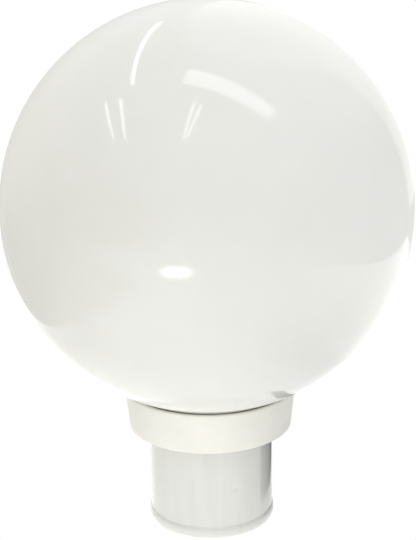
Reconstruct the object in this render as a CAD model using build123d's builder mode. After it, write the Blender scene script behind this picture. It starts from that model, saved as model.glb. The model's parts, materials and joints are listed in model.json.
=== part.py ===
from build123d import *
import os
from math import sqrt

os.makedirs("parts", exist_ok=True)

# Lighted post cap: an opal globe screwed into a collar, and a sleeve that slips over a round post.
# All sizes are millimetres. +Z is up, the origin is the centre of the sleeve's open mouth.

# ---- driving sizes ----
post_radius = 38.1            # three-inch round post
post_gap = 0.3                # radial slip fit of the sleeve on the post
sleeve_wall = 1.5
sleeve_reach = 63.2           # mouth to the ledge that stops the post
bead_height = 7.2
bead_bulge = 1.1
bead_mouth_step = 0.3         # the mouth is this much wider than the bore
stop_ledge = 1.0
neck_in = 1.0                 # the sleeve's top is smaller by this much, inside the collar
mark_height = 32.0            # centre of the punched pilot marks above the mouth
mark_depth = 0.6
mark_ball_radius = 5.0
mark_start_angle = -68.0

globe_radius = 127.0          # ten-inch globe
globe_wall = 2.2
globe_neck_radius = 47.8
globe_shoulder_above_floor = 15.2   # collar floor to where the ball meets its neck
neck_floor_gap = 0.8

collar_height = 26.0
collar_draft = 0.105          # how much the collar's radius grows for each millimetre up
collar_skirt_wall = 3.0
collar_floor_thick = 3.0
collar_floor_above_foot = 6.5
collar_rim_wall = 2.6
seal_width = 4.3              # neck to the wall of the seal's pocket
seal_pocket_depth = 6.1
hub_wall = 2.8
rib_count = 12
rib_thick = 2.0
rib_height = 4.8
rim_round = 1.0
pocket_round = 0.7
foot_round = 0.9
boss_radius = 3.8
boss_height = 4.0

neck_pitch = 6.0
neck_thread_turns = 1.0
neck_ridge_height = 1.9
neck_radial_gap = 0.6         # crest to root clearance of the globe's thread
neck_crest_width = 1.6
neck_root_width = 2.5

cap_pitch = 25.4 / 7          # medium screw base, seven turns to the inch
cap_crest_radius = 13.1
cap_ridge_height = 0.85
cap_radial_gap = 0.35
cap_crest_width = 0.8
cap_root_width = 1.9
cap_turns = 3.5
holder_turns = 4.0

# ---- fits and stock sizes ----
hub_gap = 0.3                 # sleeve in the collar's hub
turning_gap = 0.3             # between pieces that turn against each other
seat_gap = 0.1                # flat faces that come to rest on each other
tapped_gap = 0.02             # screw in its own thread
clear_gap = 0.2               # screw in a clearance hole
thread_bury = 0.5             # how far a thread ridge runs into its wall
gasket_thick = 0.6
flange_thick = 1.5
flange_bore_radius = 27.0
stop_plate_thick = 3.5
strap_thick = 1.5
washer_thick = 0.8
m4_radius = 2.0
m4_head_radius = 4.0
m4_head_height = 2.4
m3_radius = 1.5
m3_head_radius = 2.4
m3_head_height = 1.7
lead_radius = 1.2
lead_gap = 0.05
lead_bend_radius = 3.5
m4_slot = 1.0
m3_slot = 0.8
grommet_hole_radius = 9.0
grommet_bore_radius = 6.0
grommet_flange_radius = 11.0
grommet_flange_thick = 0.9

# ---- heights worked out from the driving sizes ----
bore_radius = post_radius + post_gap
sleeve_radius = bore_radius + sleeve_wall
ledge_radius = bore_radius - stop_ledge
sleeve_top_radius = sleeve_radius - neck_in
collar_foot_z = sleeve_reach + 0.4
floor_under_z = collar_foot_z + collar_floor_above_foot
floor_z = floor_under_z + collar_floor_thick
rim_z = collar_foot_z + collar_height
sleeve_top_z = floor_under_z - gasket_thick
flange_under_z = sleeve_top_z - flange_thick
plate_under_z = flange_under_z - stop_plate_thick
globe_shoulder_z = floor_z + globe_shoulder_above_floor
globe_centre_z = globe_shoulder_z + sqrt(globe_radius**2 - globe_neck_radius**2)
globe_inner_radius = globe_radius - globe_wall
neck_inner_radius = globe_neck_radius - globe_wall
neck_mouth_z = floor_z + neck_floor_gap

thread_wall_radius = globe_neck_radius + neck_ridge_height + neck_radial_gap
collar_crest_radius = globe_neck_radius + neck_radial_gap
pocket_radius = globe_neck_radius + seal_width + turning_gap
collar_rim_radius = pocket_radius + collar_rim_wall
collar_foot_radius = collar_rim_radius - collar_draft * collar_height
ledge_z = rim_z - seal_pocket_depth
neck_thread_z = floor_z + 2.1
hub_bore_radius = sleeve_radius + hub_gap

screw_ring_radius = 32.0
screw_start_angle = 30.0

bridge_top_z = floor_z + 15.5
bridge_half_length = 17.0
strap_half_width = 8.0
foot_end_x = 27.0
foot_screw_x = 22.0
holder_screw_x = 9.0

holder_radius = 18.5
holder_height = 37.4
holder_top_z = bridge_top_z + holder_height
cap_root_radius = cap_crest_radius - cap_ridge_height
cavity_radius = cap_crest_radius + cap_radial_gap + 1.1
cavity_floor_z = bridge_top_z + 10.4
notch_half_width = 10.0
notch_face_y = 13.0
terminal_x = 5.0
terminal_width = 7.0
terminal_depth = 6.0
terminal_height = 8.8
terminal_z = bridge_top_z + 1.0
terminal_lead_y = notch_face_y + 4.2
terminal_bore_depth = 4.6
terminal_screw_z = terminal_z + 6.6
contact_top_z = cavity_floor_z + 3.0

block_low_x = -10.0
block_length = 30.0
block_near_y = 24.0
block_depth = 14.0
block_height = 12.0
pole_pitch = 10.0
pole_count = 3
pole_z = floor_z + 3.5
tube_radius = 1.95
tube_inset = 1.0
clamp_screw_radius = 1.4
lead_end_y = block_near_y + 5.0

pole_xs = [block_low_x + pole_pitch * (pole + 0.5) for pole in range(pole_count)]
fixing_xs = [block_low_x + pole_pitch * (pole + 1) for pole in range(pole_count - 1)]
block_middle_y = block_near_y + block_depth / 2
clamp_ys = (block_middle_y - 3.0, block_middle_y + 3.0)
block_top_z = floor_z + block_height
fixing_seat_z = floor_z + 6.0
fixing_length = 8.4

bulb_z = contact_top_z + seat_gap
tip_radius = 4.6
tip_height = 2.9
bulb_cap_low_z = bulb_z + 3.8
bulb_thread_z = bulb_z + 5.4
bulb_cap_top_z = holder_top_z + 5.4
cap_wall = 0.7
insulator_radius = cap_root_radius - 1.0
housing_low_z = holder_top_z + 1.4
housing_top_z = housing_low_z + 35.6
housing_low_radius = 13.8
housing_waist_radius = 18.6
housing_waist_height = 14.5
housing_wall = 2.0
housing_top_radius = 28.0
light_board_radius = 25.0
light_board_thick = 1.6
light_board_rim = 1.5
emitter_ring_radius = 17.0
emitter_count = 12
emitter_width = 2.8
emitter_height = 0.7
driver_gap = 2.05              # board edge to the inside of the cap
driver_width = 2 * (cap_root_radius - cap_wall - driver_gap)
driver_thick = 1.6
driver_height = 28.0
dome_radius = 30.0
dome_wall = 1.6
dome_centre_z = housing_top_z + 13.0


def keep(piece, name):
    """Label a finished sub-part and write it to its own file."""
    piece.part.label = name
    export_step(piece.part, f"parts/{name}.step")


def sphere_height(radius, at_radius):
    """How far the surface of a ball is from its middle plane at a given radius from its axis."""
    return sqrt(radius**2 - at_radius**2)


def thread_ridge(root_radius, crest_radius, low_z, turns, pitch, root_width, crest_width):
    """One right-hand thread ridge, its foot buried in the wall that carries it."""
    bury = thread_bury if root_radius > crest_radius else -thread_bury
    with BuildPart() as ridge:
        with BuildLine() as path:
            Helix(pitch, turns * pitch, root_radius, center=(0, 0, low_z))
        with BuildSketch(Plane.XZ):
            with BuildLine():
                Polyline(
                    (root_radius + bury, low_z - root_width / 2),
                    (crest_radius, low_z - crest_width / 2),
                    (crest_radius, low_z + crest_width / 2),
                    (root_radius + bury, low_z + root_width / 2),
                    close=True,
                )
            make_face()
        sweep(path=path.line, is_frenet=True)
    return ridge.part


def pan_screw(radius, length, head_radius, head_height, slot_width):
    """A pan-head screw with a crossed recess, its head's seat on Z = 0 and its shank below."""
    with BuildPart() as screw:
        with BuildSketch():
            Circle(head_radius)
        extrude(amount=head_height)
        fillet(screw.edges().group_by(Axis.Z)[-1], head_height * 0.45)
        with BuildSketch():
            Circle(radius)
        extrude(amount=-length)
        chamfer(screw.edges().group_by(Axis.Z)[0], radius * 0.2)
        with BuildSketch(Plane.XY.offset(head_height)):
            Rectangle(head_radius * 1.1, slot_width)
            Rectangle(slot_width, head_radius * 1.1)
        extrude(amount=-head_height * 0.55, mode=Mode.SUBTRACT)
    return screw.part


def lead(points):
    """A round insulated lead: straight runs joined by tangent arcs."""
    with BuildPart() as wire:
        with BuildLine() as route:
            FilletPolyline(*points, radius=lead_bend_radius)
        with BuildSketch(Plane(route.line @ 0, z_dir=route.line % 0)):
            Circle(lead_radius)
        sweep(path=route.line)
    return wire


# ---- globe: blown opal ball, open at its foot ----
ball_foot_inner_radius = sphere_height(globe_inner_radius, globe_centre_z - globe_shoulder_z)
with BuildPart() as globe:
    with BuildSketch(Plane.XZ):
        with BuildLine():
            ThreePointArc(
                (globe_neck_radius, globe_shoulder_z),
                (globe_radius, globe_centre_z),
                (0, globe_centre_z + globe_radius),
            )
            Line((0, globe_centre_z + globe_radius), (0, globe_centre_z + globe_inner_radius))
            ThreePointArc(
                (0, globe_centre_z + globe_inner_radius),
                (globe_inner_radius, globe_centre_z),
                (ball_foot_inner_radius, globe_shoulder_z),
            )
            Line((ball_foot_inner_radius, globe_shoulder_z), (globe_neck_radius, globe_shoulder_z))
        make_face()
    revolve(axis=Axis.Z)
keep(globe, "globe")

# ---- globe neck: threaded ring welded under the ball's foot ----
neck_ridge = thread_ridge(
    globe_neck_radius, globe_neck_radius + neck_ridge_height, neck_thread_z,
    neck_thread_turns, neck_pitch, neck_root_width, neck_crest_width,
)
with BuildPart() as globe_neck:
    with BuildSketch(Plane.XY.offset(neck_mouth_z)):
        Circle(globe_neck_radius)
        Circle(neck_inner_radius, mode=Mode.SUBTRACT)
    extrude(amount=globe_shoulder_z - neck_mouth_z)
    add(neck_ridge)
keep(globe_neck, "globe_neck")

# ---- neck seal: rubber ring between the globe's shoulder and the collar ----
seal_inner_radius = globe_neck_radius + neck_radial_gap - 0.1
seal_outer_radius = pocket_radius - turning_gap
seal_lip_radius = seal_outer_radius - 0.9
seal_inner_top_z = globe_centre_z - sphere_height(globe_radius, seal_inner_radius) - turning_gap
seal_lip_z = globe_centre_z - sphere_height(globe_radius, seal_lip_radius) - turning_gap - 0.1
with BuildPart() as neck_seal:
    with BuildSketch(Plane.XZ):
        with BuildLine():
            Polyline(
                (seal_inner_radius, ledge_z + seat_gap),
                (seal_outer_radius, ledge_z + seat_gap),
                (seal_outer_radius, rim_z - 0.3),
                (seal_lip_radius, seal_lip_z),
                (seal_inner_radius, seal_inner_top_z),
                close=True,
            )
        make_face()
    revolve(axis=Axis.Z)
keep(neck_seal, "neck_seal")

# ---- collar: moulded fitter with a female thread, a floor and a hub for the sleeve ----
collar_ridge = thread_ridge(
    thread_wall_radius, collar_crest_radius, neck_thread_z,
    neck_thread_turns, neck_pitch, neck_root_width, neck_crest_width,
)
skirt_inner_foot = collar_foot_radius - collar_skirt_wall
skirt_inner_top = skirt_inner_foot + collar_draft * collar_floor_above_foot
hub_radius = hub_bore_radius + hub_wall
with BuildPart() as collar:
    with BuildSketch(Plane.XZ) as collar_section:
        with BuildLine():
            Polyline(
                (grommet_hole_radius, floor_z),
                (thread_wall_radius, floor_z),
                (thread_wall_radius, ledge_z),
                (pocket_radius, ledge_z),
                (pocket_radius, rim_z),
                (collar_rim_radius, rim_z),
                (collar_foot_radius, collar_foot_z),
                (skirt_inner_foot, collar_foot_z),
                (skirt_inner_top, floor_under_z),
                (hub_radius, floor_under_z),
                (hub_radius, collar_foot_z),
                (hub_bore_radius, collar_foot_z),
                (hub_bore_radius, floor_under_z),
                (grommet_hole_radius, floor_under_z),
                close=True,
            )
        make_face()
        corners = collar_section.vertices()
        fillet(corners.sort_by_distance((collar_rim_radius, rim_z))[0], rim_round)
        fillet(corners.sort_by_distance((pocket_radius, rim_z))[0], pocket_round)
        fillet(corners.sort_by_distance((collar_foot_radius, collar_foot_z))[0], foot_round)
    revolve(axis=Axis.Z)
    add(collar_ridge, rotation=(0, 0, 180))
    with Locations((0, 0, floor_under_z - rib_height / 2)):
        with PolarLocations((hub_radius + skirt_inner_top) / 2 - 0.2, rib_count):
            Box(skirt_inner_top - hub_radius + 1.0, rib_thick, rib_height)
    with BuildSketch(Plane.XY.offset(floor_under_z)):
        with Locations((foot_screw_x, 0), (-foot_screw_x, 0)):
            Circle(boss_radius)
    extrude(amount=-boss_height)
    with BuildSketch(Plane.XY.offset(floor_z)):
        with PolarLocations(screw_ring_radius, 3, start_angle=screw_start_angle):
            Circle(m4_radius + clear_gap)
        with Locations((foot_screw_x, 0), (-foot_screw_x, 0)):
            Circle(m4_radius + tapped_gap)
    extrude(amount=-(collar_floor_thick + boss_height + 1.0), mode=Mode.SUBTRACT)
    with BuildSketch(Plane.XY.offset(floor_z)):
        with Locations(*[(x, block_middle_y) for x in fixing_xs]):
            Circle(m3_radius + tapped_gap)
    extrude(amount=fixing_seat_z - fixing_length - floor_z - 0.2, mode=Mode.SUBTRACT)
keep(collar, "collar")

# ---- collar gasket: foam ring between the collar's floor and the sleeve's flange ----
with BuildPart() as collar_gasket:
    with BuildSketch(Plane.XY.offset(sleeve_top_z)):
        Circle(sleeve_top_radius)
        Circle(flange_bore_radius, mode=Mode.SUBTRACT)
        with PolarLocations(screw_ring_radius, 3, start_angle=screw_start_angle):
            Circle(m4_radius + clear_gap, mode=Mode.SUBTRACT)
    extrude(amount=gasket_thick)
keep(collar_gasket, "collar_gasket")

# ---- post sleeve: spun metal tube with a bead round its mouth and a flange at its top ----
bead_middle_z = bead_height / 2
mark_ball_ring_radius = sleeve_radius + mark_ball_radius - mark_depth
with BuildPart() as post_sleeve:
    with BuildSketch(Plane.XZ) as sleeve_section:
        with BuildLine():
            ThreePointArc(
                (bore_radius + bead_mouth_step, 0),
                (bore_radius + bead_bulge, bead_middle_z),
                (bore_radius, bead_height),
            )
            Polyline(
                (bore_radius, bead_height),
                (bore_radius, sleeve_reach),
                (ledge_radius, sleeve_reach),
                (ledge_radius, flange_under_z),
                (flange_bore_radius, flange_under_z),
                (flange_bore_radius, sleeve_top_z),
                (sleeve_top_radius, sleeve_top_z),
                (sleeve_top_radius, sleeve_reach + 2.2),
                (sleeve_radius, sleeve_reach + 1.2),
                (sleeve_radius, bead_height),
            )
            ThreePointArc(
                (sleeve_radius, bead_height),
                (sleeve_radius + bead_bulge, bead_middle_z),
                (sleeve_radius + bead_mouth_step, 0),
            )
            Line((sleeve_radius + bead_mouth_step, 0), (bore_radius + bead_mouth_step, 0))
        make_face()
        mouth = sleeve_section.vertices()
        fillet(mouth.sort_by_distance((sleeve_radius + bead_mouth_step, 0))[0], 0.6)
        fillet(mouth.sort_by_distance((bore_radius + bead_mouth_step, 0))[0], 0.5)
    revolve(axis=Axis.Z)
    with BuildSketch(Plane.XY.offset(sleeve_top_z)):
        with PolarLocations(screw_ring_radius, 3, start_angle=screw_start_angle):
            Circle(m4_radius + clear_gap)
    extrude(amount=-flange_thick, mode=Mode.SUBTRACT)
    with Locations((0, 0, mark_height)):
        with PolarLocations(mark_ball_ring_radius, 3, start_angle=mark_start_angle):
            Sphere(mark_ball_radius, mode=Mode.SUBTRACT)
keep(post_sleeve, "post_sleeve")

# ---- stop plate: tapped steel ring that the collar screws pull up under the flange ----
with BuildPart() as stop_plate:
    with BuildSketch(Plane.XY.offset(plate_under_z)):
        Circle(ledge_radius - clear_gap)
        Circle(flange_bore_radius, mode=Mode.SUBTRACT)
        with PolarLocations(screw_ring_radius, 3, start_angle=screw_start_angle):
            Circle(m4_radius + tapped_gap, mode=Mode.SUBTRACT)
    extrude(amount=stop_plate_thick)
keep(stop_plate, "stop_plate")

# ---- collar washers and screws, three of each round the floor ----
with BuildPart() as collar_washers:
    with BuildSketch(Plane.XY.offset(floor_z)):
        with PolarLocations(screw_ring_radius, 3, start_angle=screw_start_angle):
            Circle(m4_head_radius + 0.6)
            Circle(m4_radius + clear_gap, mode=Mode.SUBTRACT)
    extrude(amount=washer_thick)
keep(collar_washers, "collar_washers")

collar_screw_seat_z = floor_z + washer_thick
collar_screw = pan_screw(
    m4_radius, collar_screw_seat_z - plate_under_z - 0.4, m4_head_radius, m4_head_height, m4_slot
)
with BuildPart() as collar_screws:
    with Locations((0, 0, collar_screw_seat_z)):
        with PolarLocations(screw_ring_radius, 3, start_angle=screw_start_angle):
            add(collar_screw)
keep(collar_screws, "collar_screws")

# ---- cable grommet in the middle of the floor: the supply comes up through it ----
with BuildPart() as cable_grommet:
    with BuildSketch(Plane.XZ):
        with BuildLine():
            Polyline(
                (grommet_bore_radius, floor_under_z - grommet_flange_thick),
                (grommet_flange_radius, floor_under_z - grommet_flange_thick),
                (grommet_flange_radius, floor_under_z),
                (grommet_hole_radius, floor_under_z),
                (grommet_hole_radius, floor_z),
                (grommet_flange_radius, floor_z),
                (grommet_flange_radius, floor_z + grommet_flange_thick),
                (grommet_bore_radius, floor_z + grommet_flange_thick),
                close=True,
            )
        make_face()
    revolve(axis=Axis.Z)
keep(cable_grommet, "cable_grommet")

# ---- holder bracket: folded steel strap that lifts the lampholder over the cable hole ----
leg_inner_x = bridge_half_length - strap_thick
foot_top_z = floor_z + strap_thick
bridge_under_z = bridge_top_z - strap_thick
with BuildPart() as holder_bracket:
    with BuildSketch(Plane.XZ) as strap_section:
        with BuildLine():
            Polyline(
                (-foot_end_x, floor_z),
                (-leg_inner_x, floor_z),
                (-leg_inner_x, bridge_under_z),
                (leg_inner_x, bridge_under_z),
                (leg_inner_x, floor_z),
                (foot_end_x, floor_z),
                (foot_end_x, foot_top_z),
                (bridge_half_length, foot_top_z),
                (bridge_half_length, bridge_top_z),
                (-bridge_half_length, bridge_top_z),
                (-bridge_half_length, foot_top_z),
                (-foot_end_x, foot_top_z),
                close=True,
            )
        make_face()
        bends = strap_section.vertices()
        for side in (-1, 1):
            fillet(bends.sort_by_distance((side * bridge_half_length, bridge_top_z))[0], 2.0)
            fillet(bends.sort_by_distance((side * leg_inner_x, bridge_under_z))[0], 0.5)
    extrude(amount=strap_half_width, both=True)
    with BuildSketch(Plane.XY.offset(foot_top_z)):
        with Locations((foot_screw_x, 0), (-foot_screw_x, 0)):
            Circle(m4_radius + clear_gap)
    extrude(amount=-strap_thick, mode=Mode.SUBTRACT)
    with BuildSketch(Plane.XY.offset(bridge_top_z)):
        Circle(5.0)
        with Locations((holder_screw_x, 0), (-holder_screw_x, 0)):
            Circle(m3_radius + clear_gap)
    extrude(amount=-strap_thick, mode=Mode.SUBTRACT)
keep(holder_bracket, "holder_bracket")

# ---- screws of the bracket's two feet; the right one also clamps the ground ring ----
ring_thick = 0.8
foot_screw_length = 8.0
with BuildPart() as bracket_screw:
    with Locations((-foot_screw_x, 0, foot_top_z)):
        add(pan_screw(m4_radius, foot_screw_length, m4_head_radius, m4_head_height, m4_slot))
keep(bracket_screw, "bracket_screw")

with BuildPart() as ground_screw:
    with Locations((foot_screw_x, 0, foot_top_z + ring_thick)):
        add(pan_screw(m4_radius, foot_screw_length + ring_thick, m4_head_radius, m4_head_height, m4_slot))
keep(ground_screw, "ground_screw")

# ---- ground ring: crimped ring terminal under the ground screw ----
barrel_near_y = m4_head_radius + 0.8
barrel_far_y = barrel_near_y + 4.7
with BuildPart() as ground_ring:
    with BuildSketch(Plane.XY.offset(foot_top_z)):
        with Locations((foot_screw_x, 0)):
            Circle(m4_head_radius)
        with Locations((foot_screw_x, barrel_near_y / 2 + 0.6)):
            Rectangle(2 * tube_radius, barrel_near_y + 1.2)
        with Locations((foot_screw_x, 0)):
            Circle(m4_radius + clear_gap, mode=Mode.SUBTRACT)
    extrude(amount=ring_thick)
    with BuildSketch(Plane.XZ.offset(-barrel_near_y)):
        with Locations((foot_screw_x, pole_z)):
            Circle(tube_radius)
    extrude(amount=-(barrel_far_y - barrel_near_y))
    with BuildSketch(Plane.XZ.offset(-barrel_near_y)):
        with Locations((foot_screw_x, pole_z)):
            Circle(lead_radius + lead_gap)
    extrude(amount=-(barrel_far_y - barrel_near_y), mode=Mode.SUBTRACT)
keep(ground_ring, "ground_ring")

# ---- lampholder body: porcelain cup with a notch for its two terminals ----
with BuildPart() as lampholder_body:
    with BuildSketch(Plane.XY.offset(bridge_top_z)):
        Circle(holder_radius)
    extrude(amount=holder_height)
    fillet(lampholder_body.edges().group_by(Axis.Z)[-1], 1.5)
    with BuildSketch(Plane.XY.offset(holder_top_z)):
        Circle(cavity_radius)
    extrude(amount=-(holder_top_z - cavity_floor_z), mode=Mode.SUBTRACT)
    with BuildSketch(Plane.XY.offset(bridge_top_z)):
        with Locations((0, notch_face_y + holder_radius / 2)):
            Rectangle(2 * notch_half_width, holder_radius)
    extrude(amount=cavity_floor_z - bridge_top_z - 0.2, mode=Mode.SUBTRACT)
    with BuildSketch(Plane.XY.offset(bridge_top_z)):
        with Locations((holder_screw_x, 0), (-holder_screw_x, 0)):
            Circle(m3_radius + tapped_gap)
    extrude(amount=7.0, mode=Mode.SUBTRACT)
keep(lampholder_body, "lampholder_body")

with BuildPart() as holder_screws:
    with Locations((holder_screw_x, 0, bridge_under_z), (-holder_screw_x, 0, bridge_under_z)):
        add(pan_screw(m3_radius, 7.5, m3_head_radius, m3_head_height, m3_slot), rotation=(180, 0, 0))
keep(holder_screws, "holder_screws")

# ---- lampholder shell: threaded brass sleeve, its ridge half a turn from the bulb's ----
holder_root_radius = cap_crest_radius + cap_radial_gap
holder_crest_radius = cap_root_radius + cap_radial_gap
shell_hole_radius = 10.5
shell_floor_thick = 0.8
holder_ridge = thread_ridge(
    holder_root_radius, holder_crest_radius, bulb_thread_z - cap_pitch,
    holder_turns, cap_pitch, cap_root_width, cap_crest_width,
)
with BuildPart() as lampholder_shell:
    with BuildSketch(Plane.XZ):
        with BuildLine():
            Polyline(
                (shell_hole_radius, cavity_floor_z),
                (cavity_radius - lead_gap, cavity_floor_z),
                (cavity_radius - lead_gap, holder_top_z - 1.5),
                (holder_root_radius, holder_top_z - 1.5),
                (holder_root_radius, cavity_floor_z + shell_floor_thick),
                (shell_hole_radius, cavity_floor_z + shell_floor_thick),
                close=True,
            )
        make_face()
    revolve(axis=Axis.Z)
    add(holder_ridge, rotation=(0, 0, 180))
keep(lampholder_shell, "lampholder_shell")

# ---- lampholder contact: bent brass leaf under the bulb's tip ----
leaf_thick = 0.8
leaf_foot_x = -9.0
leaf_bend_x = -4.0
leaf_top_x = 0.8
leaf_end_x = 4.0
leaf_half_width = 3.0
with BuildPart() as lampholder_contact:
    with BuildSketch(Plane.XZ):
        with BuildLine():
            Polyline(
                (leaf_foot_x, cavity_floor_z),
                (leaf_bend_x + 0.2, cavity_floor_z),
                (leaf_top_x + 0.2, contact_top_z - leaf_thick),
                (leaf_end_x, contact_top_z - leaf_thick),
                (leaf_end_x, contact_top_z),
                (leaf_top_x, contact_top_z),
                (leaf_bend_x, cavity_floor_z + leaf_thick),
                (leaf_foot_x, cavity_floor_z + leaf_thick),
                close=True,
            )
        make_face()
    extrude(amount=leaf_half_width, both=True)
keep(lampholder_contact, "lampholder_contact")

# ---- lampholder terminals: brass blocks in the notch, bored from below for the leads ----
with BuildPart() as lampholder_terminals:
    for side in (-1, 1):
        with Locations((side * terminal_x, notch_face_y + terminal_depth / 2, terminal_z)):
            Box(
                terminal_width, terminal_depth, terminal_height,
                align=(Align.CENTER, Align.CENTER, Align.MIN),
            )
        with Locations((side * terminal_x, terminal_lead_y, terminal_z)):
            Cylinder(
                lead_radius + lead_gap, terminal_bore_depth,
                align=(Align.CENTER, Align.CENTER, Align.MIN), mode=Mode.SUBTRACT,
            )
    with BuildSketch(Plane.XZ.offset(-(notch_face_y + terminal_depth))):
        with Locations((-terminal_x, terminal_screw_z), (terminal_x, terminal_screw_z)):
            Circle(m3_radius + tapped_gap)
    extrude(amount=4.0, mode=Mode.SUBTRACT)
keep(lampholder_terminals, "lampholder_terminals")

with BuildPart() as terminal_screws:
    for side in (-1, 1):
        with Locations((side * terminal_x, notch_face_y + terminal_depth, terminal_screw_z)):
            add(pan_screw(m3_radius, 3.5, m3_head_radius, m3_head_height, m3_slot), rotation=(-90, 0, 0))
keep(terminal_screws, "terminal_screws")

# ---- terminal block: nylon strip with three clamp tubes for live, neutral and ground ----
with BuildPart() as terminal_block:
    with Locations((block_low_x, block_near_y, floor_z)):
        Box(block_length, block_depth, block_height, align=(Align.MIN, Align.MIN, Align.MIN))
    fillet(terminal_block.edges().group_by(Axis.Z)[-1], 0.8)
    with BuildSketch(Plane.XZ.offset(-block_near_y)):
        with Locations(*[(x, pole_z) for x in pole_xs]):
            Circle(tube_radius + lead_gap)
    extrude(amount=-block_depth, mode=Mode.SUBTRACT)
    with BuildSketch(Plane.XY.offset(block_top_z)):
        with Locations(*[(x, y) for x in pole_xs for y in clamp_ys]):
            Circle(clamp_screw_radius + clear_gap)
    extrude(amount=-(block_top_z - pole_z), mode=Mode.SUBTRACT)
    with BuildSketch(Plane.XY.offset(block_top_z)):
        with Locations(*[(x, block_middle_y) for x in fixing_xs]):
            Circle(m3_head_radius + 0.1)
    extrude(amount=-(block_top_z - fixing_seat_z), mode=Mode.SUBTRACT)
    with BuildSketch(Plane.XY.offset(fixing_seat_z)):
        with Locations(*[(x, block_middle_y) for x in fixing_xs]):
            Circle(m3_radius + 0.1)
    extrude(amount=-(fixing_seat_z - floor_z), mode=Mode.SUBTRACT)
keep(terminal_block, "terminal_block")

with BuildPart() as block_screws:
    with Locations(*[(x, block_middle_y, fixing_seat_z) for x in fixing_xs]):
        add(pan_screw(m3_radius, fixing_length, m3_head_radius, m3_head_height, m3_slot))
keep(block_screws, "block_screws")

with BuildPart() as clamp_tubes:
    with BuildSketch(Plane.XZ.offset(-(block_near_y + tube_inset))):
        with Locations(*[(x, pole_z) for x in pole_xs]):
            Circle(tube_radius)
            Circle(lead_radius + lead_gap, mode=Mode.SUBTRACT)
    extrude(amount=-(block_depth - 2 * tube_inset))
    with BuildSketch(Plane.XY.offset(pole_z + tube_radius)):
        with Locations(*[(x, y) for x in pole_xs for y in clamp_ys]):
            Circle(clamp_screw_radius + tapped_gap)
    extrude(amount=-tube_radius, mode=Mode.SUBTRACT)
keep(clamp_tubes, "clamp_tubes")

clamp_tip_z = pole_z + lead_radius + 0.1
clamp_screw_length = 5.5
with BuildPart() as clamp_screws:
    with BuildSketch(Plane.XY.offset(clamp_tip_z)):
        with Locations(*[(x, y) for x in pole_xs for y in clamp_ys]):
            Circle(clamp_screw_radius)
    extrude(amount=clamp_screw_length)
    with BuildSketch(Plane.XY.offset(clamp_tip_z + clamp_screw_length)):
        with Locations(*[(x, y) for x in pole_xs for y in clamp_ys]):
            Rectangle(0.6, 2.0)
    extrude(amount=-0.8, mode=Mode.SUBTRACT)
keep(clamp_screws, "clamp_screws")

# ---- leads from the terminal block to the lampholder and to the ground ring ----
lead_top_z = terminal_z + terminal_bore_depth - 0.2
live_lead = lead([
    (pole_xs[0], lead_end_y, pole_z),
    (pole_xs[0], terminal_lead_y, pole_z),
    (pole_xs[0], terminal_lead_y, lead_top_z),
])
keep(live_lead, "live_lead")

neutral_lead = lead([
    (pole_xs[1], lead_end_y, pole_z),
    (pole_xs[1], terminal_lead_y, pole_z),
    (pole_xs[1], terminal_lead_y, lead_top_z),
])
keep(neutral_lead, "neutral_lead")

ground_run_y = barrel_far_y + 3.0
ground_lead = lead([
    (pole_xs[2], lead_end_y, pole_z),
    (pole_xs[2], ground_run_y, pole_z),
    (foot_screw_x, ground_run_y, pole_z),
    (foot_screw_x, barrel_near_y + 1.2, pole_z),
])
keep(ground_lead, "ground_lead")

# ---- bulb tip: solder button that meets the leaf ----
with BuildPart() as bulb_tip:
    with BuildSketch(Plane.XY.offset(bulb_z)):
        Circle(tip_radius)
    extrude(amount=tip_height)
    fillet(bulb_tip.edges().group_by(Axis.Z)[0], 1.2)
keep(bulb_tip, "bulb_tip")

# ---- bulb insulator: black glass cone between tip and cap ----
insulator_top_z = bulb_cap_low_z + 1.2
cup_radius = tip_radius + turning_gap
cup_top_z = bulb_z + tip_height + turning_gap
with BuildPart() as bulb_insulator:
    with BuildSketch(Plane.XZ):
        with BuildLine():
            Polyline(
                (cup_radius, bulb_z + 1.3),
                (cup_radius + 1.2, bulb_z + 1.1),
                (insulator_radius, bulb_cap_low_z),
                (insulator_radius, insulator_top_z),
                (0, insulator_top_z),
                (0, cup_top_z),
                (cup_radius, cup_top_z),
                close=True,
            )
        make_face()
    revolve(axis=Axis.Z)
keep(bulb_insulator, "bulb_insulator")

# ---- bulb cap: rolled screw shell of the medium base ----
cap_ridge = thread_ridge(
    cap_root_radius, cap_crest_radius, bulb_thread_z,
    cap_turns, cap_pitch, cap_root_width, cap_crest_width,
)
with BuildPart() as bulb_cap:
    with BuildSketch(Plane.XZ):
        with BuildLine():
            Polyline(
                (insulator_radius, bulb_cap_low_z),
                (cap_root_radius, bulb_cap_low_z + 0.8),
                (cap_root_radius, bulb_cap_top_z),
                (cap_root_radius - cap_wall, bulb_cap_top_z),
                (cap_root_radius - cap_wall, insulator_top_z),
                (insulator_radius, insulator_top_z),
                close=True,
            )
        make_face()
    revolve(axis=Axis.Z)
    add(cap_ridge)
keep(bulb_cap, "bulb_cap")

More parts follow.
